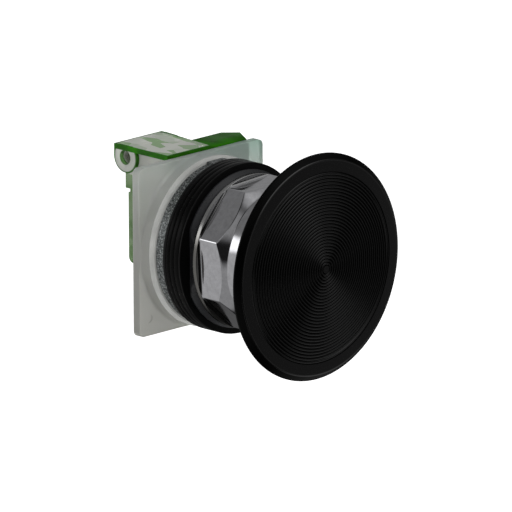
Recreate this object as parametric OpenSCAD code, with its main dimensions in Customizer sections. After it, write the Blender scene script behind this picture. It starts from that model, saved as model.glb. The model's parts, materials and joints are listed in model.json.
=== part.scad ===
// Panel-mounted industrial push button: a mushroom head on a heavy-duty 30 mm operator, with one
// contact block behind it.
// Frame: millimetres, X right, Z up, the button faces -Y. The origin is on the axis of the panel
// hole, in the plane that the panel is clamped against.
// Round parts are drawn along a local axis: local Z points out of the panel and local Y points up.

/* [Mushroom head] */
// Diameter of the mushroom head
head_d = 57.15; // [54:0.05:60]
// Distance from the panel seat to the middle of the head
head_front = 29.4; // [29:0.1:31]
// Rise of the dome inside the grooved field
dome_h = 1.9; // [1.5:0.1:2.2]
// Diameter of the grooved field
field_d = 48.2; // [44:0.1:49]
// Thickness of the head
head_t = 2.4; // [2.2:0.1:2.6]
// Radius of the rounded rim
rim_r = 1.2; // [1:0.05:1.3]
// Diameter of the hub behind the head
hub_d = 22; // [20:0.5:22.5]

/* [Ring nut] */
// Distance across the flats of the eight-sided nut
nut_flats = 36; // [35:0.1:36.2]
// Diameter of the round blank that the flats are milled into
nut_blank_d = 38.8; // [38.4:0.1:39]
// Diameter of the nut's round nose
nut_nose_d = 34; // [33:0.1:35]
// Distance from the panel seat to the front of the nut
nut_front = 16; // [15:0.1:16.5]
// Distance from the panel seat to the back of the flats
flat_start = 3.9; // [3.5:0.1:4.5]
// Angle that the tightened nut stands turned by, in degrees
nut_turn = 3; // [-20:1:20]
// Diameter of the washer behind the nut
trim_d = 39.8; // [38.5:0.1:41]
// Thickness of the washer behind the nut
trim_t = 1.5; // [1.2:0.1:1.8]

/* [Panel rings] */
// Outer diameter of the rings
ring_d = 43; // [42:0.1:44]
// Thickness of the front gasket
front_gasket_t = 0.5; // [0.4:0.05:0.8]
// Thickness of the first spacer ring
spacer_c_t = 1.7; // [1.5:0.05:1.9]
// Thickness of the second spacer ring
spacer_b_t = 1.45; // [1.2:0.05:1.6]
// Thickness of the third spacer ring
spacer_a_t = 1.4; // [1.2:0.05:1.6]
// Thickness of the rear gasket
rear_gasket_t = 0.9; // [0.7:0.05:1]

/* [Operator body] */
// Diameter of the threaded barrel, which passes a 30.5 mm panel hole
barrel_d = 30; // [30:0.05:30.3]
// Diameter of the cast flange
flange_d = 41; // [40:0.1:42]
// Thickness of the cast flange
flange_t = 3.55; // [3.4:0.05:3.8]
// Width of the locating nib on top of the flange
nib_w = 5.5; // [4:0.5:8]
// Height that the nib stands above the flange
nib_h = 0.4; // [0.3:0.1:0.9]

/* [Base plate] */
// Width of the square plate
plate_w = 43.2; // [43:0.1:44]
// Height of the square plate
plate_h = 42.8; // [42.5:0.1:43.5]
// Thickness of the square plate
plate_t = 2.2; // [2:0.1:2.5]
// Radius of the plate's corners
plate_corner_r = 1.5; // [1:0.1:3]
// Diameter of the round boss
boss_d = 43; // [42.5:0.1:43.2]
// Height of the round boss
boss_h = 4.5; // [4.3:0.1:4.8]

/* [Contact block] */
// Left side of the block
block_left = -7.5; // [-8.2:0.1:-7.4]
// Right side of the block, at its rear
block_right = 9.2; // [9:0.1:9.6]
// Top of the block
block_top = 21.6; // [21.5:0.1:22]
// Bottom of the block
block_bottom = -8; // [-9:0.1:-7.8]
// Radius of the rounded lobe around the wire tunnels
lobe_r = 3.9; // [3.8:0.1:4]
// Distance that the wing on the right reaches from the axis
wing_reach = 21.6; // [21:0.1:22.5]
// Radius of the wire tunnels
wire_r = 1.4; // [1.1:0.05:1.4]

/* [Mechanism] */
// Travel of the button
travel = 5; // [3.5:0.1:5]
// Radius of the stem where it slides in the barrel
stem_r = 8; // [7:0.1:8]
// Radial clearance of the stem in its bore
slide_gap = 0.05; // [0.03:0.01:0.1]
// Gap between the open contact tips
contact_gap = 3; // [2.5:0.1:3]

/* [Hidden] */

$fn = 96;
eps = 0.1;            // overshoot of a cut past the face that it opens
part_gap = 0.05;      // gap between parts that are assembled but don't press on each other
edge_break = 0.3;     // chamfer on machined and cast edges
head_r = head_d / 2;
field_r = field_d / 2;
dome_r = (field_r * field_r + dome_h * dome_h) / (2 * dome_h);
dome_steps = 8;
rim_steps = 6;
rim_angle_top = 90;
rim_angle_low = -60;
rim_centre_s = head_front - dome_h - 1.45;
hub_r = hub_d / 2;
hub_seat_s = head_front - 3;
hub_low_s = 17;
spigot_r = 4;
spigot_h = 1.6;
stud_r = 5;
stud_top_s = 24.8;
set_screw_r = 1.95;
set_screw_s = 21;
hex_socket_r = 1.15;
hex_socket_depth = 2.5;

// Stations along the axis, from the panel seat towards the rear
spacer_c_s = -front_gasket_t;
spacer_b_s = spacer_c_s - spacer_c_t;
spacer_a_s = spacer_b_s - spacer_b_t;
rear_gasket_s = spacer_a_s - spacer_a_t;
flange_s = rear_gasket_s - rear_gasket_t;
boss_s = flange_s - flange_t;
plate_s = boss_s - boss_h;
plate_rear_s = plate_s - plate_t;

// Barrel
barrel_r = barrel_d / 2;
barrel_front_s = 14.6;
thread_gap = 0.2;
nib_depth = 1.3;      // depth that the nib is set into the flange
ring_bore_r = barrel_r + 0.25;
counterbore_r = 11.8;
counterbore_s = hub_low_s - travel - 1.4;
seal_groove_r = 10;
seal_s = 6;
seal_t = 2;
seal_lip_r = stem_r + 0.3;
shoulder_s = 2;
chamber_r = 12.2;
sleeve_r = 14;
sleeve_rear_s = plate_s + 0.4;
retainer_s = -11.8;
retainer_t = 1;
snap_groove_r = 12.85;
snap_inner_r = 10.8;
snap_t = 0.9;
snap_opening_w = 6;
rod_r = 3;
rod_gap = 0.4;
collar_r = 11.6;
collar_t = 2.45;
rod_rear_s = plate_rear_s - 0.6;

// Ring nut and washer
nut_r = nut_blank_d / 2;
nose_r = nut_nose_d / 2;
nose_s = 12;
cone_start_s = nose_s - (nut_r - nose_r);
nose_edge = 0.8;
neck_r = 17.6;
neck_t = 0.8;
nut_rear_edge = 0.5;
nut_sides = 8;
trim_r = trim_d / 2;
trim_front_r = trim_r - 1.3;
trim_edge_t = 0.5;
trim_flat_x = 18;
ring_r = ring_d / 2;
ring_edge = 0.15;

// Base plate
plate_corner_x = plate_w / 2 - plate_corner_r;
plate_corner_y = plate_h / 2 - plate_corner_r;
boss_r = boss_d / 2;
boss_step_r = boss_r - 0.6;
boss_step_t = 0.5;
boss_fillet_r = 0.9;
pocket_r = 14.3;
rod_window_r = 6;
ejector_r = 1.05;
ejector_depth = 0.15;
ejector_x = 18.3;
ejector_y = -17;

// Screws
screw_r = 1.65;
screw_hole_r = 1.7;
screw_head_r = 3;
screw_head_t = 1.8;
cross_w = 0.8;
cross_l = 3.4;
cross_depth = 0.9;
base_screw_xy = 12.4;
base_screw_tip_s = flange_s - 1.3;
base_screw_places = [[-base_screw_xy, base_screw_xy], [base_screw_xy, -base_screw_xy]];
block_screw_l = 10;
wing_screw = [13.2, 12.6, -22.5];
lug_screw = [0.85, -16.25, -21];

// Contact block, with heights along Y and stations along the axis
base_wall_t = 2;
base_wall_s = plate_rear_s - base_wall_t;
block_right_front = 7.2;
wing_rear_s = plate_rear_s - 9.1;
wing_corner_s = plate_rear_s - 5.8;
wing_bottom = 6;
wing_shoulder_x = 18.2;
wing_foot_x = 18.1;
wing_head_pocket_r = 3.3;
lug_r = 4.35;
lobe_y = 18.6;
lobe_s = -33.1;
tier_s = -33;
tier_y = 10.9;
notch_y = 10;
notch_s = -31.4;
rear_s = -32;
foot_r = 1.5;
wall_t = 1.2;
top_wall_t = 0.8;
cavity_x = 6.3;
cavity_rear_s = rear_s + wall_t;
cavity_bottom = block_bottom + wall_t;
upper_cavity_y = 13.5;
upper_cavity_s = tier_s + wall_t;
tunnel_cavity_r = block_top - top_wall_t - lobe_y;
divider_x = 0.6;
wire_hole_r = wire_r + 0.3;
guide_r = 2.1;
rib_x0 = 3.4;
rib_x1 = 6;
rib_y0 = -2.5;
rib_y1 = 7;

// Contacts
strip_t = 0.8;
strip_x0 = 3.2;
strip_x1 = 6;
strip_low_s = -27.8;
strip_high_s = cavity_rear_s + part_gap;
strip_bottom = -2.5;
strip_jog_y = 7.2;
strip_top = 20;
tip_x = 4.6;
tip_t = 0.5;
fixed_tip_r = 1.3;
bridge_tip_r = 1.2;
tube_r = tunnel_cavity_r - part_gap;
tube_x0 = 1;
tube_x1 = 6.2;
clamp_screw_x = 3.6;
clamp_screw_r = 1.2;
clamp_hole_r = 1.22;
clamp_access_r = 1.6;
slot_w = 0.5;
slot_depth = 0.6;
fixed_tip_s = strip_low_s + strip_t;
bridge_s = fixed_tip_s + 2 * tip_t + contact_gap;
bridge_t = 0.8;
bridge_x = 5.9;
bridge_y = 3;
bridge_hole_r = 2.15;
pusher_front_s = rod_rear_s - part_gap;
pusher_r = rod_r;
pusher_hole_r = 3.3;
pusher_collar_r = 4.2;
pusher_collar_s = base_wall_s - 0.2;
pusher_collar_t = 0.8;
neck_rod_r = 1.8;
neck_rear_s = rear_s + 0.4;
clip_r = 2.7;
clip_t = 0.45;
clip_opening_w = 2.4;

// Springs
return_wire_r = 0.6;
return_coil_r = 8.4;
return_turns = 5;
contact_wire_r = 0.16;
contact_coil_r = 2.9;
contact_turns = 3;
reset_wire_r = 0.17;
reset_coil_r = 2.3;
reset_turns = 6;
coil_segments = 20;
wire_sides = 8;

// Front surface of the dome at radius r
function dome(r) = head_front - dome_r + sqrt(dome_r * dome_r - r * r);

// Turns a shape drawn along local Z so that local Z points out of the panel
module along_axis() {
    rotate([90, 0, 0]) children();
}

module disc(r, s0, s1) {
    translate([0, 0, min(s0, s1)]) cylinder(r = r, h = abs(s1 - s0));
}

module tube(r_out, r_in, s0, s1) {
    difference() {
        disc(r_out, s0, s1);
        disc(r_in, min(s0, s1) - eps, max(s0, s1) + eps);
    }
}

// Box from its two opposite corners
module span(low, high) {
    translate(low) cube(high - low);
}

// Cylinder along local X
module cross_cylinder(r, x0, x1, y, s) {
    translate([x0, y, s]) rotate([0, 90, 0]) cylinder(r = r, h = x1 - x0);
}

// Extrudes an outline given as [x, s] points, from height y0 up to y1
module plan_extrude(y0, y1, points) {
    translate([0, y1, 0]) rotate([90, 0, 0]) linear_extrude(height = y1 - y0) polygon(points);
}

// Coil spring along local Z, from s0 to s1
module coil(coil_r, wire_r, turns, s0, s1) {
    rings = turns * coil_segments;
    rise = (s1 - s0 - 2 * wire_r) / rings;
    points = [
        for (i = [0:rings], k = [0:wire_sides - 1])
            let (turn = 360 * i / coil_segments, side = 360 * k / wire_sides,
                r = coil_r + wire_r * cos(side))
            [r * cos(turn), r * sin(turn), s0 + wire_r + rise * i + wire_r * sin(side)]
    ];
    skin = [
        for (i = [0:rings - 1], k = [0:wire_sides - 1])
            let (next = (k + 1) % wire_sides, a = i * wire_sides, b = a + wire_sides)
            each [[a + k, b + next, b + k], [a + k, a + next, b + next]]
    ];
    start_cap = [for (k = [wire_sides - 1:-1:0]) k];
    end_cap = [for (k = [0:wire_sides - 1]) rings * wire_sides + k];
    polyhedron(points = points, faces = concat(skin, [start_cap], [end_cap]), convexity = 8);
}

// Pan-head screw whose head sits on the plane s, pointing out of the panel
module pan_screw(x, y, s, length) {
    translate([x, y, 0])
        difference() {
            union() {
                disc(screw_r, s, s + length);
                disc(screw_head_r, s - screw_head_t, s);
            }
            for (turn = [0, 90])
                rotate([0, 0, turn])
                    span([-cross_l / 2, -cross_w / 2, s - screw_head_t - eps],
                        [cross_l / 2, cross_w / 2, s - screw_head_t + cross_depth]);
        }
}

// Flat panel ring with broken outer edges, from s down by t
module panel_ring(s, t) {
    along_axis() rotate_extrude() polygon([
        [ring_bore_r, s], [ring_r - ring_edge, s], [ring_r, s - ring_edge],
        [ring_r, s - t + ring_edge], [ring_r - ring_edge, s - t], [ring_bore_r, s - t]
    ]);
}

module mushroom_head() {
    front = [for (i = [0:dome_steps]) let (r = field_r * i / dome_steps) [r, dome(r)]];
    rim = [
        for (i = [0:rim_steps])
            let (a = rim_angle_top + (rim_angle_low - rim_angle_top) * i / rim_steps)
            [head_r - rim_r + rim_r * cos(a), rim_centre_s + rim_r * sin(a)]
    ];
    back = [
        for (i = [dome_steps:-1:4])
            let (r = field_r * i / dome_steps)
            [r, dome(r) - head_t]
    ];
    color("#161617") along_axis() rotate_extrude()
        polygon(concat(front, rim, back, [
            [hub_r, dome(hub_r) - head_t], [hub_r, hub_seat_s],
            [spigot_r + part_gap, hub_seat_s], [spigot_r + part_gap, hub_seat_s + spigot_h],
            [0, hub_seat_s + spigot_h]
        ]));
}

module head_hub() {
    color("#1b1b1c") along_axis() difference() {
        union() {
            rotate_extrude() polygon([
                [0, hub_low_s], [hub_r - edge_break, hub_low_s], [hub_r, hub_low_s + edge_break],
                [hub_r, hub_seat_s], [0, hub_seat_s]
            ]);
            disc(spigot_r, hub_seat_s, hub_seat_s + spigot_h - part_gap);
        }
        disc(stud_r + part_gap, hub_low_s - eps, stud_top_s + part_gap);
        translate([0, 0, set_screw_s]) rotate([90, 0, 0])
            cylinder(r = set_screw_r + part_gap, h = hub_r + eps);
    }
}

module hub_set_screw() {
    color("#5a5a5c") along_axis() translate([0, 0, set_screw_s]) rotate([90, 0, 0])
        translate([0, 0, stud_r + part_gap]) difference() {
            cylinder(r = set_screw_r, h = hub_r - stud_r - 2 * edge_break);
            translate([0, 0, hub_r - stud_r - 2 * edge_break - hex_socket_depth])
                cylinder(r = hex_socket_r, h = hex_socket_depth + eps, $fn = 6);
        }
}

module plunger() {
    collar_s = shoulder_s - part_gap;
    color("#d9d6cb") along_axis() rotate_extrude() polygon([
        [0, rod_rear_s], [rod_r - edge_break, rod_rear_s], [rod_r, rod_rear_s + edge_break],
        [rod_r, collar_s - collar_t], [collar_r, collar_s - collar_t], [collar_r, collar_s],
        [stem_r, collar_s], [stem_r, hub_low_s], [stud_r, hub_low_s],
        [stud_r, stud_top_s - edge_break], [stud_r - edge_break, stud_top_s], [0, stud_top_s]
    ]);
}

module return_spring() {
    color("#b9bcc0") along_axis()
        coil(return_coil_r, return_wire_r, return_turns, retainer_s + retainer_t,
            shoulder_s - part_gap - collar_t);
}

module ring_nut() {
    step = 360 / nut_sides;
    color("#c9ccd2") along_axis() difference() {
        rotate_extrude() polygon([
            [barrel_r + thread_gap, trim_t], [neck_r, trim_t], [neck_r, trim_t + neck_t],
            [nut_r - nut_rear_edge, trim_t + neck_t],
            [nut_r, trim_t + neck_t + nut_rear_edge], [nut_r, cone_start_s], [nose_r, nose_s],
            [nose_r, nut_front - nose_edge], [nose_r - nose_edge, nut_front],
            [barrel_r + thread_gap, nut_front]
        ]);
        for (i = [0:nut_sides - 1])
            rotate([0, 0, nut_turn + step * i])
                span([nut_flats / 2, -nut_r, flat_start], [nut_r + eps, nut_r, nut_front]);
    }
}

module trim_washer() {
    color("#4a4d52") along_axis() difference() {
        rotate_extrude() polygon([
            [ring_bore_r, 0], [trim_r, 0], [trim_r, trim_edge_t], [trim_front_r, trim_t],
            [ring_bore_r, trim_t]
        ]);
        for (side = [0, 180])
            rotate([0, 0, side])
                span([trim_flat_x, -trim_r, -eps], [trim_r + eps, trim_r, trim_t + eps]);
    }
}

module front_gasket() {
    color("#101011") panel_ring(0, front_gasket_t);
}

module spacer_ring_c() {
    color("#131314") panel_ring(spacer_c_s, spacer_c_t);
}

module spacer_ring_b() {
    color("#131314") panel_ring(spacer_b_s, spacer_b_t);
}

module spacer_ring_a() {
    color("#131314") panel_ring(spacer_a_s, spacer_a_t);
}

module rear_gasket() {
    color("#101011") panel_ring(rear_gasket_s, rear_gasket_t);
}

module operator_body() {
    color("#8b8e90") along_axis() difference() {
        union() {
            rotate_extrude() polygon([
                [stem_r + slide_gap, barrel_front_s],
                [barrel_r - edge_break, barrel_front_s],
                [barrel_r, barrel_front_s - edge_break],
                [barrel_r, flange_s], [flange_d / 2 - edge_break, flange_s],
                [flange_d / 2, flange_s - edge_break], [flange_d / 2, boss_s + edge_break],
                [flange_d / 2 - edge_break, boss_s], [sleeve_r, boss_s],
                [sleeve_r, sleeve_rear_s], [stem_r + slide_gap, sleeve_rear_s]
            ]);
            span([-nib_w / 2, flange_d / 2 - nib_depth, boss_s + edge_break],
                [nib_w / 2, flange_d / 2 + nib_h, flange_s - edge_break]);
        }
        disc(counterbore_r, counterbore_s, barrel_front_s + eps);
        disc(seal_groove_r, seal_s, seal_s + seal_t);
        disc(chamber_r, sleeve_rear_s - eps, shoulder_s);
        disc(snap_groove_r, retainer_s - snap_t - part_gap, retainer_s);
        for (place = base_screw_places)
            translate([place[0], place[1], 0])
                disc(screw_hole_r, boss_s - eps, base_screw_tip_s + edge_break);
    }
}

module shaft_seal() {
    color("#2a2422") along_axis()
        tube(seal_groove_r - part_gap, seal_lip_r, seal_s + part_gap, seal_s + seal_t - part_gap);
}

module spring_retainer() {
    color("#a7a9ab") along_axis()
        tube(chamber_r - part_gap, rod_r + rod_gap, retainer_s, retainer_s + retainer_t);
}

module retaining_ring() {
    color("#6d6f72") along_axis() difference() {
        tube(snap_groove_r - part_gap, snap_inner_r, retainer_s - snap_t, retainer_s);
        span([-snap_opening_w / 2, 0, retainer_s - snap_t - eps],
            [snap_opening_w / 2, snap_groove_r + eps, retainer_s + eps]);
    }
}

// Rounded square slab of the base plate
module plate_slab(s0, s1) {
    span([-plate_w / 2, -plate_corner_y, s0], [plate_w / 2, plate_corner_y, s1]);
    span([-plate_corner_x, -plate_h / 2, s0], [plate_corner_x, plate_h / 2, s1]);
    for (x = [-plate_corner_x, plate_corner_x], y = [-plate_corner_y, plate_corner_y])
        translate([x, y, 0]) disc(plate_corner_r, s0, s1);
}

module base_plate() {
    color("#c6c8c3", 0.85) along_axis() difference() {
        union() {
            plate_slab(plate_rear_s, plate_s);
            rotate_extrude() polygon([
                [0, plate_s - part_gap], [boss_r, plate_s - part_gap],
                [boss_r, boss_s - 2 * boss_step_t], [boss_step_r, boss_s - boss_step_t],
                [boss_step_r, boss_s], [0, boss_s]
            ]);
            intersection() {
                rotate_extrude() polygon([
                    [pocket_r, plate_s - part_gap], [boss_r + boss_fillet_r, plate_s - part_gap],
                    [boss_r + boss_fillet_r, plate_s],
                    for (a = [15:15:75])
                        [boss_r + boss_fillet_r * (1 - sin(a)), plate_s + boss_fillet_r * (1 - cos(a))],
                    [boss_r, plate_s + boss_fillet_r], [pocket_r, plate_s + boss_fillet_r]
                ]);
                plate_slab(plate_rear_s, boss_s);
            }
        }
        disc(pocket_r, plate_s, boss_s + eps);
        disc(rod_window_r, plate_rear_s - eps, plate_s + eps);
        for (place = base_screw_places)
            translate([place[0], place[1], 0])
                disc(screw_hole_r, plate_rear_s - eps, boss_s + eps);
        for (screw = [wing_screw, lug_screw])
            translate([screw[0], screw[1], 0])
                disc(screw_hole_r, plate_rear_s - eps, lug_screw[2] + block_screw_l + part_gap);
        for (side = [-1, 1])
            translate([side * ejector_x, ejector_y, 0])
                disc(ejector_r, plate_s - ejector_depth, plate_s + eps);
    }
}

module base_screws() {
    color("#b4b6b8") along_axis()
        for (place = base_screw_places)
            pan_screw(place[0], place[1], plate_rear_s, base_screw_tip_s - plate_rear_s);
}

module contact_base() {
    color("#2f7d14", 0.9) along_axis() difference() {
        union() {
            plan_extrude(block_bottom, block_top, [
                [block_left, base_wall_s], [block_left, plate_rear_s],
                [block_right_front, plate_rear_s], [block_right_front, base_wall_s]
            ]);
            plan_extrude(wing_bottom, block_top, [
                [block_right_front, wing_rear_s], [block_right_front, plate_rear_s],
                [wing_foot_x, plate_rear_s], [wing_reach, wing_corner_s],
                [wing_shoulder_x, wing_rear_s]
            ]);
            span([lug_screw[0] - lug_r, lug_screw[1], lug_screw[2]],
                [lug_screw[0] + lug_r, block_bottom, plate_rear_s]);
            translate([lug_screw[0], lug_screw[1], 0]) disc(lug_r, lug_screw[2], plate_rear_s);
        }
        disc(pusher_hole_r, base_wall_s - eps, plate_rear_s + eps);
        for (screw = [wing_screw, lug_screw])
            translate([screw[0], screw[1], 0])
                disc(screw_hole_r, screw[2] - eps, plate_rear_s + eps);
        translate([wing_screw[0], wing_screw[1], 0])
            disc(wing_head_pocket_r, wing_rear_s - eps, wing_screw[2]);
        plan_extrude(wing_bottom - eps, block_top + eps, housing_plan(part_gap));
    }
}

// Plan of the space that the housing takes, with its slanted right side moved out by a gap
function housing_plan(gap) = [
    [block_left - eps, base_wall_s], [block_right_front + gap, base_wall_s],
    [block_right + gap, lobe_s - lobe_r - eps], [block_left - eps, lobe_s - lobe_r - eps]
];

// Outer form of the housing, before its right side is slanted
module housing_form() {
    span([block_left, tier_y, tier_s], [block_right, block_top, base_wall_s]);
    span([block_left, block_bottom + foot_r, rear_s], [block_right, notch_y, base_wall_s]);
    span([block_left, block_bottom, rear_s + foot_r],
        [block_right, block_bottom + foot_r + eps, base_wall_s]);
    cross_cylinder(foot_r, block_left, block_right, block_bottom + foot_r, rear_s + foot_r);
    span([block_left, notch_y - eps, notch_s], [block_right, tier_y + eps, base_wall_s]);
    span([block_left, lobe_y, lobe_s - lobe_r], [block_right, block_top, base_wall_s]);
    cross_cylinder(lobe_r, block_left, block_right, lobe_y, lobe_s);
}

module housing_cavity() {
    span([-cavity_x, cavity_bottom, cavity_rear_s], [cavity_x, upper_cavity_y, base_wall_s + eps]);
    span([-cavity_x, upper_cavity_y - eps, upper_cavity_s],
        [cavity_x, block_top - top_wall_t, base_wall_s + eps]);
    cross_cylinder(tunnel_cavity_r, -cavity_x, cavity_x, lobe_y, lobe_s);
    span([-cavity_x, lobe_y, lobe_s - tunnel_cavity_r],
        [cavity_x, block_top - top_wall_t, upper_cavity_s + eps]);
}

module contact_housing() {
    color("#b9d8a8", 0.55) along_axis() difference() {
        union() {
            difference() {
                intersection() {
                    housing_form();
                    plan_extrude(block_bottom - eps, block_top + eps, housing_plan(0));
                }
                housing_cavity();
            }
            for (side = [-1, 1])
                span([min(side * rib_x0, side * rib_x1), rib_y0, cavity_rear_s - eps],
                    [max(side * rib_x0, side * rib_x1), rib_y1, strip_low_s]);
            span([-divider_x, lobe_y - tunnel_cavity_r, lobe_s - tunnel_cavity_r - eps],
                [divider_x, block_top - top_wall_t + eps, strip_high_s]);
        }
        cross_cylinder(wire_hole_r, block_left - eps, eps - cavity_x, lobe_y, lobe_s);
        cross_cylinder(wire_hole_r, cavity_x - eps, block_right + eps, lobe_y, lobe_s);
        for (side = [-1, 1])
            translate([side * clamp_screw_x, lobe_y, 0])
                disc(clamp_access_r, lobe_s - lobe_r - eps, lobe_s);
        disc(guide_r, rear_s - eps, cavity_rear_s + eps);
    }
}

module block_screws() {
    color("#b4b6b8") along_axis()
        for (screw = [wing_screw, lug_screw])
            pan_screw(screw[0], screw[1], screw[2], block_screw_l);
}

// Brass strip of the right-hand fixed contact
module contact_strip() {
    span([strip_x0, strip_bottom, strip_low_s],
        [strip_x1, strip_jog_y + strip_t, strip_low_s + strip_t]);
    span([strip_x0, strip_jog_y, strip_high_s], [strip_x1, strip_jog_y + strip_t, strip_low_s + strip_t]);
    span([strip_x0, strip_jog_y, strip_high_s], [strip_x1, strip_top, strip_high_s + strip_t]);
}

module fixed_contact_left() {
    color("#b8903c") along_axis() mirror([1, 0, 0]) contact_strip();
}

module fixed_contact_right() {
    color("#b8903c") along_axis() contact_strip();
}

module fixed_tips() {
    color("#dcdcdc") along_axis()
        for (x = [-tip_x, tip_x])
            translate([x, 0, 0]) disc(fixed_tip_r, fixed_tip_s, fixed_tip_s + tip_t);
}

// Brass tunnel clamp on the right-hand side
module terminal_tube() {
    difference() {
        cross_cylinder(tube_r, tube_x0, tube_x1, lobe_y, lobe_s);
        cross_cylinder(wire_r, tube_x0 - eps, tube_x1 + eps, lobe_y, lobe_s);
        translate([clamp_screw_x, lobe_y, 0]) disc(clamp_hole_r, lobe_s - tube_r - eps, lobe_s);
    }
}

module terminal_tube_left() {
    color("#b8903c") along_axis() mirror([1, 0, 0]) terminal_tube();
}

module terminal_tube_right() {
    color("#b8903c") along_axis() terminal_tube();
}

module terminal_screws() {
    rear = lobe_s - lobe_r + part_gap;
    color("#c2c3c5") along_axis()
        for (x = [-clamp_screw_x, clamp_screw_x])
            translate([x, lobe_y, 0]) difference() {
                disc(clamp_screw_r, rear, lobe_s - wire_r - 2 * part_gap);
                span([-clamp_screw_r, -slot_w / 2, rear - eps],
                    [clamp_screw_r, slot_w / 2, rear + slot_depth]);
            }
}

module contact_plunger() {
    collar_low_s = pusher_collar_s - pusher_collar_t;
    color("#e4e0d4") along_axis() rotate_extrude() polygon([
        [0, neck_rear_s], [neck_rod_r, neck_rear_s], [neck_rod_r, collar_low_s],
        [pusher_collar_r, collar_low_s], [pusher_collar_r, pusher_collar_s],
        [pusher_r, pusher_collar_s], [pusher_r, pusher_front_s], [0, pusher_front_s]
    ]);
}

module contact_clip() {
    clip_s = bridge_s - part_gap;
    color("#77797b") along_axis() difference() {
        tube(clip_r, neck_rod_r, clip_s - clip_t, clip_s);
        span([-clip_opening_w / 2, 0, clip_s - clip_t - eps],
            [clip_opening_w / 2, clip_r + eps, clip_s + eps]);
    }
}

module reset_spring() {
    color("#b9bcc0") along_axis()
        coil(reset_coil_r, reset_wire_r, reset_turns, cavity_rear_s, bridge_s - part_gap - clip_t);
}

module bridge() {
    color("#b8903c") along_axis() difference() {
        span([-bridge_x, -bridge_y, bridge_s], [bridge_x, bridge_y, bridge_s + bridge_t]);
        disc(bridge_hole_r, bridge_s - eps, bridge_s + bridge_t + eps);
    }
}

module bridge_tips() {
    color("#dcdcdc") along_axis()
        for (x = [-tip_x, tip_x])
            translate([x, 0, 0]) disc(bridge_tip_r, bridge_s - tip_t, bridge_s);
}

module contact_spring() {
    color("#b9bcc0") along_axis()
        coil(contact_coil_r, contact_wire_r, contact_turns, bridge_s + bridge_t,
            pusher_collar_s - pusher_collar_t);
}

mushroom_head();
head_hub();
hub_set_screw();
plunger();
return_spring();
ring_nut();
trim_washer();
front_gasket();
spacer_ring_c();
spacer_ring_b();
spacer_ring_a();
rear_gasket();
operator_body();
shaft_seal();
spring_retainer();
retaining_ring();
base_plate();
base_screws();
contact_base();
contact_housing();
block_screws();
fixed_contact_left();
fixed_contact_right();
fixed_tips();
terminal_tube_left();
terminal_tube_right();
terminal_screws();
contact_plunger();
contact_clip();
reset_spring();
bridge();
bridge_tips();
contact_spring();
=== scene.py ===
"""Looks of the mushroom push button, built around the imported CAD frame.

Round pieces are drawn from their section. A point of a section is (r, s): r is the distance from
the button's axis and s the distance out of the panel, both in millimetres. Out of the panel is -Y.
"""

import json
import math

import bmesh
import bpy
from mathutils import Matrix, Vector


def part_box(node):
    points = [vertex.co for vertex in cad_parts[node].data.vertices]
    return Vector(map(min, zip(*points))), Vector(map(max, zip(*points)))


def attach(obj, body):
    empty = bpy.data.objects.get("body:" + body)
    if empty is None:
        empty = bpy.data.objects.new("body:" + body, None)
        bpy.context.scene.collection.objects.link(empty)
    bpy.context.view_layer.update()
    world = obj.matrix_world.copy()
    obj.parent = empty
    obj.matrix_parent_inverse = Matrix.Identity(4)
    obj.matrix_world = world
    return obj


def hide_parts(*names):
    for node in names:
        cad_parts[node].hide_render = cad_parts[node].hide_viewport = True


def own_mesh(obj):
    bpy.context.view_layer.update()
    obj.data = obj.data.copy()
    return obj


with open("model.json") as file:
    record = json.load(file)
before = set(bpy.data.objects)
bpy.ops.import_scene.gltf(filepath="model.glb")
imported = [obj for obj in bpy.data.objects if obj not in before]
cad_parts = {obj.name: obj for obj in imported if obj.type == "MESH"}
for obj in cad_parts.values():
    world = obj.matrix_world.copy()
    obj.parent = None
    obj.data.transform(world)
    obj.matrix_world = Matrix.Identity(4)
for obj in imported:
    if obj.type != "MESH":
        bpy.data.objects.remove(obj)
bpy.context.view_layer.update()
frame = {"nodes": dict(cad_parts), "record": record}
record = frame["record"]
slot_of = {part["node"]: part["material_slot"] for part in record["subparts"]}
body_of = {
    node: body
    for body, nodes in record["behaviour"]["bodies"].items()
    for node in nodes
}
_, entry_y, entry_z = next(m["pos_m"] for m in record["mounts"] if m["name"] == "wire_entry_left")
MM = 0.001
PANEL_HOLE_D = 30.5  # in millimetres
SAME_PLACE = 1e-7  # in metres: points closer than this are one


# ---------------------------------------------------------------- materials

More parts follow.
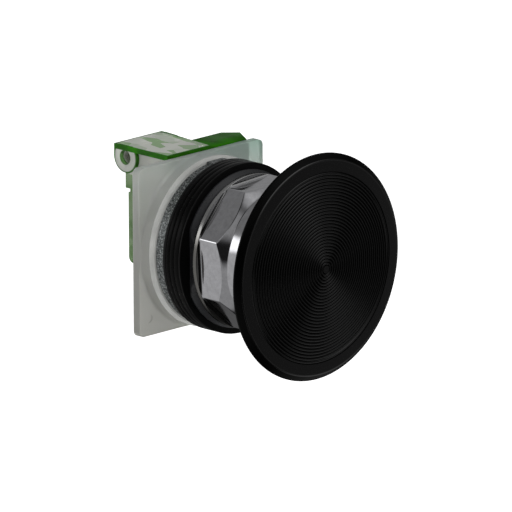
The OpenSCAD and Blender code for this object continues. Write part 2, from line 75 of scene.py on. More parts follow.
class Shader:
    """A small wrapper that builds one procedural material."""

    def __init__(self, name):
        self.name = name
        self.mat = bpy.data.materials.new(name)
        self.mat.use_nodes = True
        self.tree = self.mat.node_tree
        self.bsdf = self.tree.nodes["Principled BSDF"]
        self.coords = self.tree.nodes.new("ShaderNodeTexCoord").outputs["Object"]

    def link(self, source, target):
        self.tree.links.new(source, target)

    def set(self, **values):
        for key, value in values.items():
            self.bsdf.inputs[key.replace("_", " ")].default_value = value

    def texture(self, kind, scale, stretch):
        """A texture node on the object's own coordinates, scaled along each axis by stretch."""
        mapping = self.tree.nodes.new("ShaderNodeMapping")
        mapping.inputs["Scale"].default_value = stretch
        self.link(self.coords, mapping.inputs["Vector"])
        tex = self.tree.nodes.new(kind)
        tex.inputs["Scale"].default_value = scale
        self.link(mapping.outputs["Vector"], tex.inputs["Vector"])
        return tex

    def noise(self, scale, detail=4.0, roughness=0.55, stretch=(1, 1, 1)):
        tex = self.texture("ShaderNodeTexNoise", scale, stretch)
        tex.inputs["Detail"].default_value = detail
        tex.inputs["Roughness"].default_value = roughness
        return tex.outputs["Fac"]

    def cells(self, scale, stretch=(1, 1, 1)):
        """One random value for each cell of a crystal-like pattern."""
        return self.texture("ShaderNodeTexVoronoi", scale, stretch).outputs["Color"]

    def around_x(self, y, z, reach):
        """Rises from 0 to 1 with the distance from a line along X through y and z, up to reach."""
        flat = self.tree.nodes.new("ShaderNodeVectorMath")
        flat.operation = "MULTIPLY_ADD"
        flat.inputs[1].default_value = (0, 1, 1)
        flat.inputs[2].default_value = (0, -y, -z)
        self.link(self.coords, flat.inputs[0])
        length = self.tree.nodes.new("ShaderNodeVectorMath")
        length.operation = "LENGTH"
        self.link(flat.outputs["Vector"], length.inputs[0])
        return self.span(length.outputs["Value"], 0, 1, 0, reach)

    def along(self, direction, start, end):
        """Rises from 0 to 1 between two places, in millimetres, along a direction on the object."""
        dot = self.tree.nodes.new("ShaderNodeVectorMath")
        dot.operation = "DOT_PRODUCT"
        dot.inputs[1].default_value = Vector(direction).normalized()
        self.link(self.coords, dot.inputs[0])
        return self.span(dot.outputs["Value"], 0, 1, start * MM, end * MM)

    def ramp(self, value, *stops):
        """Turns a texture value into a colour, from (place, colour) stops."""
        ramp = self.tree.nodes.new("ShaderNodeValToRGB")
        band = ramp.color_ramp
        while len(band.elements) < len(stops):
            band.elements.new(0.5)
        for element, (place, colour) in zip(band.elements, stops):
            element.position = place
            element.color = (*colour, 1.0)
        self.link(value, ramp.inputs["Fac"])
        return ramp.outputs["Color"]

    def span(self, value, low, high, start=0.3, end=0.7):
        """Maps a value that runs from start to end onto the range low to high."""
        scale = self.tree.nodes.new("ShaderNodeMapRange")
        for key, number in (("From Min", start), ("From Max", end), ("To Min", low), ("To Max", high)):
            scale.inputs[key].default_value = number
        self.link(value, scale.inputs["Value"])
        return scale.outputs["Result"]

    def colour(self, value, *stops):
        self.link(self.ramp(value, *stops), self.bsdf.inputs["Base Color"])

    def uneven_colour(self, colour, scale, spread):
        """A colour that drifts between a darker and a paler shade of itself."""
        dark = tuple(c * (1 - spread) for c in colour)
        pale = tuple(min(1.0, c * (1 + spread)) for c in colour)
        self.colour(self.noise(scale), (0.3, dark), (0.7, pale))

    def rough(self, value, low, high):
        self.link(self.span(value, low, high), self.bsdf.inputs["Roughness"])

    def bump(self, height, strength, distance):
        """Fine relief, of a depth in millimetres."""
        bump = self.tree.nodes.new("ShaderNodeBump")
        bump.inputs["Strength"].default_value = strength
        bump.inputs["Distance"].default_value = distance * MM
        self.link(height, bump.inputs["Height"])
        self.link(bump.outputs["Normal"], self.bsdf.inputs["Normal"])


def grey(level):
    """A colour without a hue."""
    return (level, level, level)


def moulded(name, colour, rough, **settings):
    """Plastic or rubber: fine grain, a little unevenness in colour and gloss."""
    grain = 1500
    s = Shader(name)
    s.set(**settings)
    s.uneven_colour(colour, grain / 8, 0.12)
    fine = s.noise(grain, detail=6)
    s.rough(fine, rough * 0.85, rough * 1.15)
    s.bump(fine, 0.4, 0.004)
    return s


def plated(name, colour, rough, wave=350, depth=0.004, spread=0.06, metallic=1.0):
    """Plated metal: bright, with faint waves and a varying polish."""
    s = Shader(name)
    s.set(Metallic=metallic)
    s.uneven_colour(colour, wave * 3, spread)
    s.rough(s.noise(wave), rough * 0.75, rough * 1.25)
    s.bump(s.noise(wave, detail=5), 0.5, depth)
    return s


def plating_with_painted_shade(name, low, high, rough, start, end):
    """Plated metal with painted shade: darker at the bottom than at the top."""
    s = Shader(name)
    s.set(Metallic=1.0)
    s.colour(s.along((0, 0, 1), start, end), (0.0, low), (1.0, high))
    s.rough(s.noise(600), rough * 0.8, rough * 1.2)
    s.bump(s.noise(900, detail=5), 0.5, 0.01)
    return s


def cast_zinc(name):
    """Die-cast zinc: bright and dull specks under a dull skin."""
    dull, middle, bright = (0.03, 0.035, 0.035), (0.13, 0.14, 0.14), (0.6, 0.63, 0.63)
    s = Shader(name)
    s.set(Metallic=0.85)
    specks = s.noise(2000, detail=5, roughness=0.75)
    s.colour(specks, (0.36, dull), (0.5, middle), (0.66, bright))
    s.rough(s.noise(900, detail=6), 0.38, 0.6)
    s.bump(specks, 0.6, 0.03)
    return s


def see_through(name, clearness, ior=1.3, gloss=0.12):
    """Polished see-through plastic, still without a colour."""
    s = Shader(name)
    s.set(Transmission_Weight=clearness, IOR=ior, Specular_IOR_Level=gloss)
    s.rough(s.noise(500), 0.04, 0.1)
    s.bump(s.noise(220, detail=2), 0.2, 0.01)
    return s


def tinted_plastic(name, pale, deep, clearness, patches=200, **optics):
    """Tinted see-through plastic, with paler and deeper patches painted at random in place of the walls
    seen through it.
    """
    s = see_through(name, clearness, **optics)
    s.colour(s.noise(patches, detail=2, stretch=(1, 0.45, 1)), (0.4, pale), (0.62, deep))
    return s


def mosaic_plastic(name):
    """See-through top of the housing, with a painted mosaic of paler and greener panes in place of the
    inner walls seen through it.
    """
    pale, middle, green = (0.72, 0.73, 0.68), (0.54, 0.61, 0.5), (0.33, 0.49, 0.27)
    s = see_through(name, 0.4)
    s.colour(s.cells(330, (1, 0.55, 1)), (0.4, pale), (0.5, middle), (0.64, green))
    return s


def lobe_plastic(name):
    """Pale plastic around the wire entries, with green rings painted at the edge of the hole and of the
    lobe as light and shade.
    """
    pale, green = (0.6, 0.61, 0.57), (0.04, 0.14, 0.02)
    s = see_through(name, 0.4)
    hole_edge = (0.36, green), (0.39, pale)
    lobe_edge = (0.7, pale), (0.74, green), (0.8, green), (0.84, pale)
    s.colour(s.around_x(entry_y, entry_z, 5 * MM), *hole_edge, *lobe_edge)
    return s


def milky_plastic(name):
    """Natural, unpigmented plastic: cloudy, with painted shade and light that make it darker at the
    bottom left and paler higher up, and greener near its top right corner.
    """
    s = Shader(name)
    s.set(Transmission_Weight=0.5, IOR=1.35, Specular_IOR_Level=0.4)
    s.set(Subsurface_Weight=0.6, Subsurface_Radius=(1.0, 1.0, 0.9), Subsurface_Scale=1.5 * MM)
    # Painted shade and light: darker at the bottom left, paler towards the top, then greener and darker
    # in the top right corner.
    lower = (0.0, (0.37, 0.37, 0.345)), (0.5, (0.47, 0.475, 0.45)), (0.76, (0.6, 0.62, 0.59))
    upper = (0.88, (0.52, 0.58, 0.54)), (1.0, (0.36, 0.5, 0.43))
    s.colour(s.along((0.3, 0, 1), -26, 26), *lower, *upper)
    s.rough(s.noise(700), 0.28, 0.4)
    s.bump(s.noise(500, detail=4), 0.3, 0.01)
    return s


SLOT_LOOKS = {look.name: look for look in (
    moulded("head_black", grey(0.0005), 0.2),
    moulded("hub_black", grey(0.002), 0.3),
    plated("black_steel", (0.06, 0.06, 0.062), 0.3),
    moulded("white_plastic", (0.7, 0.68, 0.62), 0.4),
    plated("spring_steel", (0.5, 0.51, 0.52), 0.22, metallic=0.75),
    plated("nut_chrome", (0.56, 0.56, 0.58), 0.1, wave=260, depth=0.007, spread=0.1),
    moulded("dark_plate", (0.015, 0.0155, 0.017), 0.3, Metallic=0.08),
    moulded("black_rubber", grey(0.0008), 0.5, Specular_IOR_Level=0.2),
    moulded("ring_black", grey(0.001), 0.3, Specular_IOR_Level=0.06),
    cast_zinc("zinc_cast"),
    plated("plated_steel", (0.6, 0.6, 0.58), 0.25, metallic=0.6),
    milky_plastic("milky_plastic"),
    tinted_plastic("green_plastic", (0.02, 0.15, 0.0), (0.012, 0.08, 0.0), 0.2, ior=1.1, gloss=0.02),
    tinted_plastic("clear_plastic", (0.74, 0.77, 0.72), (0.6, 0.7, 0.57), 0.55, 150),
    plated("contact_brass", (0.62, 0.45, 0.18), 0.22),
    plated("tinned_metal", (0.7, 0.69, 0.65), 0.35, metallic=0.35),
    plated("tip_silver", (0.8, 0.79, 0.76), 0.18),
)}

# Looks of single stretches of a piece, on top of the look of its slot.
# Painted shade: the bottoms of the head's grooves get a darker black that barely reflects.
groove_painted_shade = moulded("groove_painted_shade", grey(0.0003), 0.4, Specular_IOR_Level=0.06)
# Painted shade: the side of the head's rim gets a dull black, so it stays dark all round.
rim_painted_shade = moulded("rim_painted_shade", grey(0.0004), 0.25, Specular_IOR_Level=0.08)
# Painted highlight: a band along the head's front edge reflects twice as strongly as the head, which
# brightens the lamp's line there.
edge_painted_highlight = moulded("edge_painted_highlight", grey(0.001), 0.12, Specular_IOR_Level=1.0)
# Painted shade on the nut's collar, and on its neck and the flats' run-outs: dark at the bottom, bright
# at the top.
collar_painted_shade = plating_with_painted_shade("collar_painted_shade", (0.2, 0.195, 0.185), grey(0.56), 0.2, 6, 15)
neck_painted_shade = plating_with_painted_shade("neck_painted_shade", (0.05, 0.05, 0.048), grey(0.6), 0.25, 9, 16)
# Painted light: the front of the plate's boss is opaque and paler, for light that comes through it.
boss_painted_light = moulded("boss_painted_light", (0.37, 0.375, 0.36), 0.45)
# Painted light and shade of the clear housing: green wall ends and borders, deeper green side walls, a
# pale lobe with green rings, and a mosaic top.
edge_painted_glow = tinted_plastic("edge_painted_glow", (0.03, 0.2, 0.006), (0.02, 0.1, 0.008), 0.2, 500)
wall_green = tinted_plastic("wall_green", (0.24, 0.34, 0.19), (0.13, 0.23, 0.09), 0.35, 260)
lobe_pale = lobe_plastic("lobe_pale")
top_mosaic = mosaic_plastic("top_mosaic")

for name, node in frame["nodes"].items():
    node.data.materials.clear()
    node.data.materials.append(SLOT_LOOKS[slot_of[name]].mat)


# ---------------------------------------------------------------- mesh helpers

def stations(node):
    """Highest radius, lowest and highest station s of a round CAD node, in millimetres."""
    low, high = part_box(node)
    return high.x / MM, -high.y / MM, -low.y / MM


def finish_piece(name, mesh, node, smooth_angle=32):
    """Makes the mesh a piece in place of the CAD node, hung on the node's body, with the material of its
    slot.
    """
    mesh.polygons.foreach_set("use_smooth", [True] * len(mesh.polygons))
    mesh.set_sharp_from_angle(angle=math.radians(smooth_angle))
    mesh.materials.append(SLOT_LOOKS[slot_of[node]].mat)
    obj = bpy.data.objects.new(name, mesh)
    bpy.context.scene.collection.objects.link(obj)
    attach(obj, body_of[node])
    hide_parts(node)
    return obj


def add_looks(piece, *looks):
    """Adds looks that single faces of the piece use. The first has the material index 1."""
    for look in looks:
        piece.data.materials.append(look.mat)


def mesh_of(name, bm):
    bmesh.ops.recalc_face_normals(bm, faces=bm.faces)
    mesh = bpy.data.meshes.new(name)
    bm.to_mesh(mesh)
    bm.free()
    return mesh


def soften(corners, steps=4):
    """Rounds an outline: each corner is (r, s), or (r, s, radius) where it is rounded."""
    points = []
    for i, corner in enumerate(corners):
        here = Vector(corner[:2])
        if len(corner) < 3:
            points.append(tuple(here))
            continue
        radius = corner[2]
        to_last = (Vector(corners[i - 1][:2]) - here).normalized()
        to_next = (Vector(corners[(i + 1) % len(corners)][:2]) - here).normalized()
        half = to_last.angle(to_next) / 2
        centre = here + (to_last + to_next).normalized() * radius / math.sin(half)
        first = here + to_last * radius / math.tan(half) - centre
        last = here + to_next * radius / math.tan(half) - centre
        start = math.atan2(first.y, first.x)
        sweep = math.remainder(math.atan2(last.y, last.x) - start, math.tau)
        for k in range(steps + 1):
            angle = start + sweep * k / steps
            points.append((centre.x + radius * math.cos(angle), centre.y + radius * math.sin(angle)))
    return points


def on_axis(r, angle, s):
    """Place of a section's point after a turn about the button's axis, in metres."""
    return Vector((r * math.cos(angle), -s, r * math.sin(angle))) * MM


def middle(face):
    """Where the middle of a face lies in the section."""
    centre = face.calc_center_median() / MM
    return math.hypot(centre.x, centre.z), -centre.y


def turned(outline, segments=192, limit=None):
    """Solid of revolution from a closed outline. limit(r, angle, s) may pull a point inwards."""
    bm = bmesh.new()
    rings = []
    for r, s in outline:
        if r == 0:
            rings.append([bm.verts.new(on_axis(0, 0, s))] * segments)
            continue
        ring = []
        for k in range(segments):
            angle = math.tau * k / segments
            ring.append(bm.verts.new(on_axis(limit(r, angle, s) if limit else r, angle, s)))
        rings.append(ring)
    for here, there in zip(rings, rings[1:] + rings[:1]):
        for k in range(segments):
            n = (k + 1) % segments
            corners = list(dict.fromkeys([here[k], here[n], there[n], there[k]]))
            if len(corners) > 2:
                bm.faces.new(corners)
    return bm


def cut(bm, place, normal):
    """Divides the faces along a plane, and takes nothing away."""
    parts = bm.verts[:] + bm.edges[:] + bm.faces[:]
    bmesh.ops.bisect_plane(bm, geom=parts, dist=SAME_PLACE, plane_co=place, plane_no=normal)


def eased(name, node, width, segments=2):
    """Copy of a CAD node with its flat faces merged and its edges rounded."""
    flat, sharp = math.radians(0.5), math.radians(25)
    bm = bmesh.new()
    bm.from_mesh(frame["nodes"][node].data)
    bmesh.ops.remove_doubles(bm, verts=bm.verts, dist=SAME_PLACE)
    bmesh.ops.dissolve_limit(bm, angle_limit=flat, verts=bm.verts, edges=bm.edges)
    edges = [e for e in bm.edges if e.is_manifold and e.calc_face_angle() > sharp]
    bmesh.ops.bevel(bm, geom=edges, offset=width * MM, segments=segments, profile=0.5,
                    affect="EDGES", clamp_overlap=True)
    return finish_piece(name, mesh_of(name, bm), node)


# ---------------------------------------------------------------- mushroom head

def grooved_head():
    """Domed, grooved head with a smooth outer band; painted shade in the groove bottoms and on the side,
    a painted highlight on the edge.
    """
    head_r, _, front = stations("mushroom_head")
    hub_r, _, spigot_s = stations("head_hub")
    dome_h = 1.9
    field_r = 24.1
    dot_r = 1.0
    edge_w = 0.1
    pitch = 0.8
    depth = 0.25
    samples = 10
    black_from = 0.66  # across half a groove, from 0 on the crest to 1 at the bottom
    dome_r = (field_r ** 2 + dome_h ** 2) / (2 * dome_h)

    def dome(r):
        return front - dome_r + math.sqrt(dome_r ** 2 - r ** 2)

    outline = [(0, front), (dot_r * 0.6, dome(dot_r * 0.6)), (dot_r, dome(dot_r))]
    inner_r = dot_r + edge_w
    grooves_w = field_r - edge_w - inner_r
    count = round(grooves_w / pitch)
    step = grooves_w / count / samples
    for k in range(count * samples + 1):
        r = inner_r + step * k
        off_crest = 2 * (k % samples) / samples - 1
        outline.append((r, dome(r) - depth * off_crest ** 2))
    outline.append((field_r, dome(field_r)))

    edge_r = 27.0
    edge_s = front - dome_h - 0.25
    side_front, side_back = edge_s - 1.2, edge_s - 1.75
    back_r, back_s = edge_r + 0.5, edge_s - 2.4
    outline += [(edge_r, edge_s, 0.8), (head_r, side_front, 0.35), (head_r, side_back, 0.35)]
    outline += [(back_r, back_s, 0.3)]

    wall_t = 2.4
    under_r = 26.3
    level_r = field_r + 1.2  # beyond this the underside stays level
    hub_gap = 0.6
    under_steps = 4
    for k in range(under_steps + 1):
        r = under_r - (under_r - hub_r - hub_gap) * k / under_steps
        outline.append((r, dome(min(r, level_r)) - wall_t))
    hub_s = 26.4
    hole_r, hole_s = 4.1, spigot_s + 0.05
    outline += [(hub_r, hub_s), (hole_r, hub_s), (hole_r, hole_s), (0, hole_s)]

    bm = turned(soften(outline, 5), segments=288)
    # Painted shade in the groove bottoms and on the side, a painted highlight along the edge.
    groove, side, edge = 1, 2, 3
    for face in bm.faces:
        r, s = middle(face)
        place = (r - inner_r) / (step * samples)
        in_groove = 0 < place < count and s > dome(field_r)
        if in_groove and abs(2 * (place % 1) - 1) > black_from:
            face.material_index = groove
        elif r > edge_r + edge_w * 2:
            face.material_index = side
        elif r > edge_r - edge_w * 3 and s > side_front:
            face.material_index = edge
    piece = finish_piece("grooved_head", mesh_of("grooved_head", bm), "mushroom_head", 50)
    add_looks(piece, groove_painted_shade, rim_painted_shade, edge_painted_highlight)


# ---------------------------------------------------------------- nut, washer and rings

def polished_nut():
    """Round blank with eight milled flats, a 45 degree cone and a round nose."""
    blank_r, low, front = stations("ring_nut")
    bore_r = 15.2
    foot_r, foot_s = 17.6, low + 0.8
    collar_s = 3.58
    neck_r = 17.9
    flat_s = 3.72
    nose_r, nose_s = 17.0, 12.0
    cone_s = nose_s - (blank_r - nose_r)
    corners = [
        (bore_r, low), (foot_r, low), (foot_r, foot_s), (blank_r, foot_s, 0.2),
        (blank_r, collar_s, 0.15), (neck_r, collar_s), (neck_r, flat_s), (blank_r, flat_s, 0.08),
        (blank_r, cone_s), (nose_r, nose_s, 0.5), (nose_r, front, 0.9), (bore_r, front, 0.3),
    ]
    # The stretch that the flats cut into gets many points, for clean edges.
    fine, coarse = 0.18, 9.0
    outline = []
    points = soften(corners, 8)
    for here, there in zip(points, points[1:] + points[:1]):
        outline.append(here)
        milled = here[0] > nose_r + 0.5 and max(here[1], there[1]) > foot_s + 0.2
        count = max(1, math.ceil(math.dist(here, there) / (fine if milled else coarse)))
        for k in range(1, count):
            outline.append(tuple(a + (b - a) * k / count for a, b in zip(here, there)))

    sides = 8
    turn = math.radians(3)
    flat_r = 18.0
    run_out = 0.5
    blend = 0.1

    def limit(r, angle, s):
        """Mills the flats, from the neck forwards. Each runs out at the neck and blends softly."""
        if r < nose_r - 0.1 or s < flat_s - 0.01:
            return r
        local = math.remainder(angle - turn, math.tau / sides)
        behind = min(run_out, max(0.0, flat_s + run_out - s))
        rise = run_out - math.sqrt(run_out ** 2 - behind ** 2)
        flat = (flat_r + rise) / math.cos(local)
        gap = r - flat
        if abs(gap) >= blend * 10:
            return min(r, flat)
        return (r + flat) / 2 - math.sqrt(gap * gap + blend * blend) / 2

    bm = turned(outline, segments=720, limit=limit)
    # Painted shade: the collar, and the neck with the flats' run-outs, get metal that is dark at the
    # bottom and bright at the top.
    collar, neck = 1, 2
    for face in bm.faces:
        r, s = middle(face)
        if s < collar_s:
            face.material_index = collar
        elif s < flat_s + run_out / 2 and r < blank_r - 0.05:
            face.material_index = neck
    piece = finish_piece("polished_nut", mesh_of("polished_nut", bm), "ring_nut", 60)
    add_looks(piece, collar_painted_shade, neck_painted_shade)


def washer():
    """Washer behind the nut: a front chamfer and two flats."""
    _, low, front = stations("trim_washer")
    bore_r = PANEL_HOLE_D / 2
    rim_r, rim_s = 19.9, low + 0.5
    face_r = 18.6
    flat_x = 18.0
    corners = [
        (bore_r, low), (rim_r, low, 0.12), (rim_r, rim_s, 0.1), (face_r, front, 0.15), (bore_r, front),
    ]

    def limit(r, angle, s):
        """Keeps both sides within the flats."""
        reach = abs(math.cos(angle))
        return flat_x / reach if r * reach > flat_x else r

    bm = turned(soften(corners, 3), segments=480, limit=limit)
    finish_piece("dark_washer", mesh_of("dark_washer", bm), "trim_washer")


def panel_ring(name, node, edge, crown=0.0):
    """Flat ring with outer edges rounded by edge, and a rim that bulges by crown."""
    rim_r, low, front = stations(node)
    bore_r = PANEL_HOLE_D / 2
    rim = [(rim_r - crown, low, edge), (rim_r - crown, front, edge)]
    if crown:
        rim.insert(1, (rim_r, (low + front) / 2, 0.3))
    bm = turned(soften([(bore_r, low), *rim, (bore_r, front)]))
    finish_piece(name, mesh_of(name, bm), node)


def milky_plate():
    """Square plate with a round boss, whose front is painted paler as painted light coming through it."""
    pale_t = 1.2 * MM
    pale_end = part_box("base_plate")[0].y + pale_t
    piece = eased("milky_plate", "base_plate", width=0.18, segments=3)
    bm = bmesh.new()
    bm.from_mesh(piece.data)
    # Painted light: the boss's front, pale_t deep, gets the paler look.
    cut(bm, (0, pale_end, 0), (0, 1, 0))
    for face in bm.faces:
        if face.calc_center_median().y < pale_end:
            face.material_index = 1
    bm.to_mesh(piece.data)
    bm.free()
    add_looks(piece, boss_painted_light)


# ---------------------------------------------------------------- contact block

def prism(name, outline, x0, x1):
    """Solid between two planes across X, from an outline of (y, z) points."""
    bm = bmesh.new()
    left = [bm.verts.new((x0, y, z)) for y, z in outline]
    right = [bm.verts.new((x1, y, z)) for y, z in outline]
    bm.faces.new(left)
    bm.faces.new(right)
    for k in range(len(outline)):
        n = (k + 1) % len(outline)
        bm.faces.new([left[k], left[n], right[n], right[k]])
    return mesh_of(name, bm)


def carve(piece, tool_mesh):
    """Takes the tool's shape away from the piece's mesh."""
    tool = bpy.data.objects.new(tool_mesh.name, tool_mesh)
    bpy.context.scene.collection.objects.link(tool)
    step = piece.modifiers.new("carve", "BOOLEAN")
    step.operation = "DIFFERENCE"
    step.solver = "EXACT"
    step.object = tool
    result = piece.evaluated_get(bpy.context.evaluated_depsgraph_get())
    mesh = bpy.data.meshes.new_from_object(result)
    piece.modifiers.clear()
    piece.data = mesh
    bpy.data.objects.remove(tool)


def clear_housing():
    """Housing whose wall ends are painted green, as painted light where light leaves the walls.

    Its left side has a shallow recess that follows the lobe around the wire entry.
    """
    wall_t = 1.4 * MM
    border = 0.4 * MM
    lobe_r = 4.0 * MM
    recess_t, recess_l = 0.9 * MM, 8.6 * MM
    low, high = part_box("contact_housing")
    top = high.z - wall_t
    piece = eased("clear_housing", "contact_housing", width=0.2)

    arc_steps = 24
    arc_start, arc_end = math.asin((top - entry_z) / lobe_r), -math.radians(30)
    outline = []
    for k in range(arc_steps + 1):
        angle = arc_start - (arc_start - arc_end) * k / arc_steps
        outline.append((entry_y - lobe_r * math.cos(angle), entry_z + lobe_r * math.sin(angle)))
    front_y = entry_y - recess_l
    outline += [(front_y, outline[-1][1]), (front_y, top)]
    carve(piece, prism("recess", outline, low.x - recess_t, low.x + recess_t))

    bm = bmesh.new()
    bm.from_mesh(piece.data)
    cut(bm, (0, 0, top), (0, 0, 1))
    for axis in range(3):
        normal = Vector((axis == 0, axis == 1, axis == 2))
        cut(bm, low + normal * border, normal)
        cut(bm, high - normal * border, normal)
    cut(bm, (0, 0, entry_z - lobe_r), (0, 0, 1))
    cut(bm, (high.x - wall_t, 0, 0), (1, 0, 0))
    # Looks of painted light and shade: green where light leaves the wall ends and borders, deeper green
    # on the side walls, a pale lobe with green rings, and a mosaic on the top.
    own, edge, wall, lobe, panes = range(5)

    def look_of(face):
        """Index of the face's look: the piece's own, or one of those added below."""
        centre = face.calc_center_median()
        faces_side = abs(face.normal.x) > 0.9
        on_top = centre.z > high.z - border / 2 and face.normal.z > 0.5
        from_entry = math.hypot(centre.y - entry_y, centre.z - entry_z)
        at_border = [centre[k] < low[k] + border or centre[k] > high[k] - border for k in range(3)]
        wall_end = centre.z > top and not on_top and (faces_side or at_border[1])
        in_recess = centre.x < low.x + recess_t - border / 8 and centre.y < entry_y
        recess_arc = in_recess and not faces_side and abs(from_entry - lobe_r) < border / 2
        if wall_end or recess_arc or sum(at_border) > 1 or (on_top and centre.x > high.x - wall_t):
            return edge
        if on_top:
            return panes
        if from_entry < lobe_r / 2 or (faces_side and centre.z > entry_z - lobe_r):
            return lobe
        return wall if faces_side else own

    for face in bm.faces:
        face.material_index = look_of(face)
    bm.to_mesh(piece.data)
    bm.free()
    add_looks(piece, edge_painted_glow, wall_green, lobe_pale, top_mosaic)


# ---------------------------------------------------------------- springs

def coil(name, node, turns, wire_r):
    """Compression spring with closed end turns, between the CAD spring's two ends."""
    steps, sides = 40, 12
    closed_turns = 0.75
    outer_r, low, front = stations(node)
    middle_r = outer_r - wire_r
    rise = front - low - 2 * wire_r
    pitch_turns = turns - 2 * closed_turns
    bm = bmesh.new()
    rings = []
    for i in range(round(turns * steps) + 1):
        turn = i / steps
        open_turns = min(max(turn - closed_turns, 0), pitch_turns)
        s = low + wire_r + rise * open_turns / pitch_turns
        ring = []
        for k in range(sides):
            side = math.tau * k / sides
            r = middle_r + wire_r * math.cos(side)
            ring.append(bm.verts.new(on_axis(r, math.tau * turn, s + wire_r * math.sin(side))))
        rings.append(ring)
    for here, there in zip(rings, rings[1:]):
        for k in range(sides):
            n = (k + 1) % sides
            bm.faces.new([here[k], here[n], there[n], there[k]])
    for end in (rings[0], rings[-1]):
        bm.faces.new(end)
    return finish_piece(name, mesh_of(name, bm), node, 60)


def squashed_coil(name, node, turns, wire_r):
    """A coil with a mesh of its own."""
    piece = coil(name, node, turns, wire_r)
    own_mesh(piece)


# ---------------------------------------------------------------- stage

def view_direction(azimuth, elevation):
    """Unit vector from the object to a viewer. Azimuth 0 is the front, -90 the left side."""
    turn, tilt = math.radians(azimuth), math.radians(elevation)
    return Vector((math.sin(turn) * math.cos(tilt), -math.cos(turn) * math.cos(tilt), math.sin(tilt)))


def make_camera():
    """A long lens from the front left and above, aimed at a place beside the button's axis."""
    back = view_direction(-45, 14.93)
    roll = math.radians(-0.3)
    distance = 3.71
    depth, shift_right, shift_down = 14.0, 13.48, 4.41
    camera = bpy.data.objects.new("camera", bpy.data.cameras.new("camera"))
    bpy.context.scene.collection.objects.link(camera)
    turn = (-back).to_track_quat("-Z", "Y").to_matrix().to_4x4() @ Matrix.Rotation(roll, 4, "Z")
    right = turn.to_3x3() @ Vector((1, 0, 0))
    up = turn.to_3x3() @ Vector((0, 1, 0))
    aim = Vector((0, depth, 0)) + right * shift_right - up * shift_down
    camera.matrix_world = Matrix.Translation(aim * MM + back * distance) @ turn
    camera.data.lens = 1055
    camera.data.sensor_width = 36
    camera.data.clip_end = 20
    bpy.context.scene.camera = camera


def make_key_light():
    """A soft light from the front left and above, which no piece mirrors."""
    direction = view_direction(-20, 50)
    distance = 1.5
    light = bpy.data.lights.new("key", "AREA")
    light.shape = "SQUARE"
    light.size = 1.0
    light.energy = 16
    key = bpy.data.objects.new("key", light)
    key.location = direction * distance
    key.rotation_euler = (-direction).to_track_quat("-Z", "Y").to_euler()
    key.visible_glossy = False
    bpy.context.scene.collection.objects.link(key)


def make_floor():
    """A plain pale floor, which no piece mirrors."""
    reach, height = 6.0, -0.12
    corners = [(-reach, -reach), (reach, -reach), (reach, reach), (-reach, reach)]
    mesh = bpy.data.meshes.new("floor")
    mesh.from_pydata([(x, y, height) for x, y in corners], [], [(0, 1, 2, 3)])
    floor = bpy.data.objects.new("floor", mesh)
    bpy.context.scene.collection.objects.link(floor)
    s = Shader("floor")
    s.set(Roughness=0.9, Specular_IOR_Level=0.0, Emission_Color=(*grey(1.0), 1.0), Emission_Strength=0.75)
    s.colour(s.noise(0.6), (0.3, grey(0.93)), (0.7, grey(0.95)))
    mesh.materials.append(s.mat)
    floor.visible_glossy = False


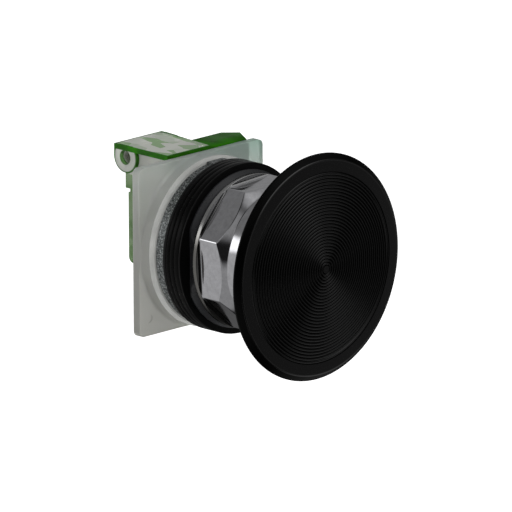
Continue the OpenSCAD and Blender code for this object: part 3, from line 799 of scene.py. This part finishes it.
class Sky:
    """The studio's surroundings, as soft patches of light around a dim room."""

    def __init__(self, ambient):
        self.world = bpy.data.worlds.new("studio")
        self.world.use_nodes = True
        self.tree = self.world.node_tree
        self.direction = self.tree.nodes.new("ShaderNodeTexCoord").outputs["Generated"]
        self.total = ambient

    def join(self, operation, socket, other):
        """Output of a node that joins a socket with another one, or with a number."""
        node = self.tree.nodes.new("ShaderNodeMath")
        node.operation = operation
        self.tree.links.new(socket, node.inputs[0])
        if isinstance(other, float):
            node.inputs[1].default_value = other
        else:
            self.tree.links.new(other, node.inputs[1])
        return node.outputs["Value"]

    def patch(self, direction, inner, outer, strength):
        """Adds light that fades out from inner to outer degrees off the direction."""
        dot = self.tree.nodes.new("ShaderNodeVectorMath")
        dot.operation = "DOT_PRODUCT"
        dot.inputs[1].default_value = direction.normalized()
        self.tree.links.new(self.direction, dot.inputs[0])
        fade = self.tree.nodes.new("ShaderNodeMapRange")
        fade.interpolation_type = "SMOOTHSTEP"
        fade.inputs["From Min"].default_value = math.cos(math.radians(outer))
        fade.inputs["From Max"].default_value = math.cos(math.radians(inner))
        fade.inputs["To Max"].default_value = strength
        self.tree.links.new(dot.outputs["Value"], fade.inputs["Value"])
        self.total = self.join("ADD", fade.outputs["Result"], self.total)

    def use(self):
        """Lights the scene. The camera itself sees white where the floor ends."""
        seen = self.tree.nodes.new("ShaderNodeLightPath").outputs["Is Camera Ray"]
        background = self.tree.nodes["Background"]
        self.tree.links.new(self.join("MAXIMUM", seen, self.total), background.inputs["Color"])
        background.inputs["Strength"].default_value = 1.0
        bpy.context.scene.world = self.world


def make_sky():
    """A dim room with soft lights, which the black and the polished pieces mirror."""
    sky = Sky(0.014)
    for azimuth, elevation, inner, outer, strength in (
        (20, 33, 6, 30, 0.58),
        (60, 60, 15, 45, 0.35),
        (45, -15, 20, 34, 0.115),
        (-60, -40, 27, 39, 0.33),
        (-75, 36, 4, 18, 0.6),
        (-32, 36, 8, 24, 0.3),
        (75, 2, 8, 26, 0.03),
        (9, 4, 5, 20, 0.1),
        (154, -40, 15, 35, 0.1),
        (-136, -18, 25, 55, 0.5),
        (-136, 17, 4, 13, 1.6),
        (-154, 41, 15, 45, 0.2),
        (135, 18, 15, 45, 0.28),
        (180, 5, 12, 38, 0.3),
        (78, -50, 10, 30, 0.3),
    ):
        sky.patch(view_direction(azimuth, elevation), inner, outer, strength)
    sky.use()


# ---------------------------------------------------------------- the whole scene

grooved_head()
polished_nut()
washer()
panel_ring("front_seal_ring", "front_gasket", edge=0.12)
for place, letter in (("third", "c"), ("second", "b"), ("first", "a")):
    panel_ring(place + "_ring", "spacer_ring_" + letter, edge=0.2, crown=0.03)
panel_ring("rear_seal_ring", "rear_gasket", edge=0.12)
milky_plate()
clear_housing()
eased("green_base", "contact_base", width=0.25)
for node in ("base_screws", "block_screws", "terminal_screws", "bridge", "fixed_contact_left",
             "fixed_contact_right"):
    eased(node + "_eased", node, width=0.08)
squashed_coil("return_coil", "return_spring", turns=5.5, wire_r=0.6)
squashed_coil("reset_coil", "reset_spring", turns=6.5, wire_r=0.17)
squashed_coil("contact_coil", "contact_spring", turns=3.5, wire_r=0.16)

make_camera()
make_sky()
make_floor()
make_key_light()
bpy.context.scene.view_settings.view_transform = "Standard"
